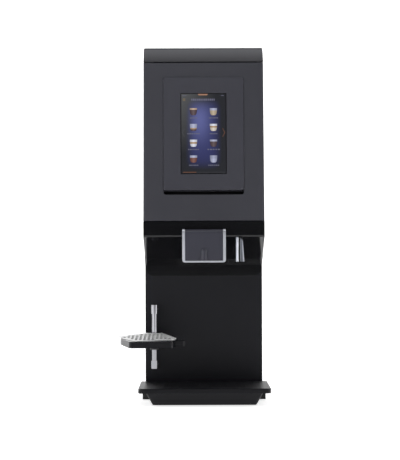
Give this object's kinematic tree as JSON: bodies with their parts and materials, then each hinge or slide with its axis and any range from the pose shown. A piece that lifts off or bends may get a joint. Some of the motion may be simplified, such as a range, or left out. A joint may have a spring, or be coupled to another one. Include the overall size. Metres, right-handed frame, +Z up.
{
  "type": "hot coffee vending machine",
  "caption": "Narrow black table-top hot drinks machine: leaning door with touch screen, glossy outlet area, swing-out cup shelf on a rod, wide slide-out drip tray.",
  "frame": {"origin": "middle of the front foot rail's underside, in the plane of the column's front", "axes": "+Z up, -Y towards the user, +X to the user's right"},
  "size_m": [0.3347, 0.52, 0.79],
  "materials": {
    "door_paint": "fine satin",
    "panel_plastic": "satin",
    "gloss_black": "high gloss",
    "column_paint": "fine textured powder coat",
    "tray_plastic": "satin",
    "cover_plastic": "satin",
    "black_plastic": "satin",
    "black_rubber": "matt",
    "screen_glass": "gloss",
    "chrome": "polished",
    "grille_steel": "brushed",
    "sheet_steel": "mill finish",
    "motor_metal": "zinc plated",
    "valve_brass": "satin",
    "clear_plastic": "frosted",
    "circuit_board": "solder mask"
  },
  "bodies": {
    "machine": {"top_cover": "door_paint", "nozzle_housing": "gloss_black", "column_front_panel": "column_paint", "side_panel_left": "column_paint", "side_panel_right": "column_paint", "rear_cover": "column_paint", "spout_cover": "cover_plastic", "coffee_outlet": "cover_plastic", "boiler_lid": "black_plastic", "inlet_valve": "black_plastic", "fan_housing": "black_plastic", "mains_inlet": "black_plastic", "front_foot_rail": "black_rubber", "rear_foot_rail": "black_rubber", "mixer_hose": "black_rubber", "hot_water_hose": "black_rubber", "spout_trim": "chrome", "hot_water_outlet": "chrome", "shelf_rod": "chrome", "rod_bracket_upper": "chrome", "rod_bracket_lower": "chrome", "lock_barrel": "chrome", "heating_element": "chrome", "base_pan": "sheet_steel", "inner_chassis": "sheet_steel", "hinge_pin_top": "sheet_steel", "hinge_pin_bottom": "sheet_steel", "boiler_tank": "sheet_steel", "whipper_motor": "motor_metal", "auger_motor_left": "motor_metal", "auger_motor_middle": "motor_metal", "auger_motor_right": "motor_metal", "valve_block": "valve_brass", "mixing_bowl": "clear_plastic", "control_board": "circuit_board"},
    "door": {"door_shell": "door_paint", "display_panel": "panel_plastic", "touch_screen": "screen_glass", "display_unit": "black_plastic", "door_catch": "sheet_steel"},
    "lock_cam": {"lock_cam": "sheet_steel"},
    "shelf_carriage": {"shelf_collar": "black_plastic"},
    "clamp_screw": {"shelf_clamp_screw": "chrome"},
    "swing_shelf": {"shelf_body": "black_plastic"},
    "shelf_grille": {"shelf_grille": "grille_steel"},
    "drip_tray": {"drip_tray": "tray_plastic"},
    "cup_plate": {"cup_plate": "tray_plastic"},
    "impeller": {"whipper_impeller": "black_plastic"},
    "fan_rotor": {"fan_rotor": "black_plastic"},
    "mains_switch": {"mains_switch": "black_rubber"},
    "canister_left": {"canister_left": "clear_plastic"},
    "canister_lid_left": {"canister_lid_left": "black_plastic"},
    "auger_left": {"auger_left": "black_plastic"},
    "canister_middle": {"canister_middle": "clear_plastic"},
    "canister_lid_middle": {"canister_lid_middle": "black_plastic"},
    "auger_middle": {"auger_middle": "black_plastic"},
    "canister_right": {"canister_right": "clear_plastic"},
    "canister_lid_right": {"canister_lid_right": "black_plastic"},
    "auger_right": {"auger_right": "black_plastic"}
  },
  "joints": [
    {"name": "door_swing", "type": "hinge", "parent": "machine", "child": "door", "pos_m": [-0.125, -0.07, 0.576], "axis": [0, 0, -1], "range_deg": [0, 110]},
    {"name": "lock_turn", "type": "hinge", "parent": "machine", "child": "lock_cam", "pos_m": [0.118, -0.028, 0.47], "axis": [1, 0, 0], "range_deg": [0, 90]},
    {"name": "shelf_height", "type": "slide", "parent": "machine", "child": "shelf_carriage", "axis": [0, 0, 1], "range_m": [-0.022, 0.04]},
    {"name": "clamp_screw_turn", "type": "hinge", "parent": "shelf_carriage", "child": "clamp_screw", "pos_m": [-0.097, -0.02, 0.118], "axis": [1, 0, 0], "range_deg": [0, 180]},
    {"name": "shelf_swing", "type": "hinge", "parent": "shelf_carriage", "child": "swing_shelf", "pos_m": [-0.112, -0.02, 0.141], "axis": [0, 0, 1], "range_deg": [-50, 58]},
    {"name": "grille_lift", "type": "slide", "parent": "swing_shelf", "child": "shelf_grille", "axis": [0, 0, 1], "range_m": [0, 0.03]},
    {"name": "tray_slide", "type": "slide", "parent": "machine", "child": "drip_tray", "axis": [0, -1, 0], "range_m": [0, 0.2]},
    {"name": "cup_plate_lift", "type": "slide", "parent": "drip_tray", "child": "cup_plate", "axis": [0, 0, 1], "range_m": [0, 0.04]},
    {"name": "impeller_spin", "type": "hinge", "parent": "machine", "child": "impeller", "pos_m": [0, -0.04, 0.443], "axis": [0, 1, 0], "continuous": true},
    {"name": "fan_spin", "type": "hinge", "parent": "machine", "child": "fan_rotor", "pos_m": [0, 0.284, 0.64], "axis": [0, 1, 0], "continuous": true},
    {"name": "mains_switch_rock", "type": "hinge", "parent": "machine", "child": "mains_switch", "pos_m": [0.096, 0.297, 0.075], "axis": [1, 0, 0], "range_deg": [-16, 0]},
    {"name": "canister_lift_left", "type": "slide", "parent": "machine", "child": "canister_left", "axis": [0, 0, 1], "range_m": [0, 0.02]},
    {"name": "canister_lid_lift_left", "type": "slide", "parent": "canister_left", "child": "canister_lid_left", "axis": [0, 0, 1], "range_m": [0, 0.02]},
    {"name": "auger_spin_left", "type": "hinge", "parent": "canister_left", "child": "auger_left", "pos_m": [-0.084, 0.1, 0.535], "axis": [0, 1, 0], "continuous": true},
    {"name": "canister_lift_middle", "type": "slide", "parent": "machine", "child": "canister_middle", "axis": [0, 0, 1], "range_m": [0, 0.02]},
    {"name": "canister_lid_lift_middle", "type": "slide", "parent": "canister_middle", "child": "canister_lid_middle", "axis": [0, 0, 1], "range_m": [0, 0.02]},
    {"name": "auger_spin_middle", "type": "hinge", "parent": "canister_middle", "child": "auger_middle", "pos_m": [0, 0.1, 0.535], "axis": [0, 1, 0], "continuous": true},
    {"name": "canister_lift_right", "type": "slide", "parent": "machine", "child": "canister_right", "axis": [0, 0, 1], "range_m": [0, 0.02]},
    {"name": "canister_lid_lift_right", "type": "slide", "parent": "canister_right", "child": "canister_lid_right", "axis": [0, 0, 1], "range_m": [0, 0.02]},
    {"name": "auger_spin_right", "type": "hinge", "parent": "canister_right", "child": "auger_right", "pos_m": [0.084, 0.1, 0.535], "axis": [0, 1, 0], "continuous": true}
  ]
}
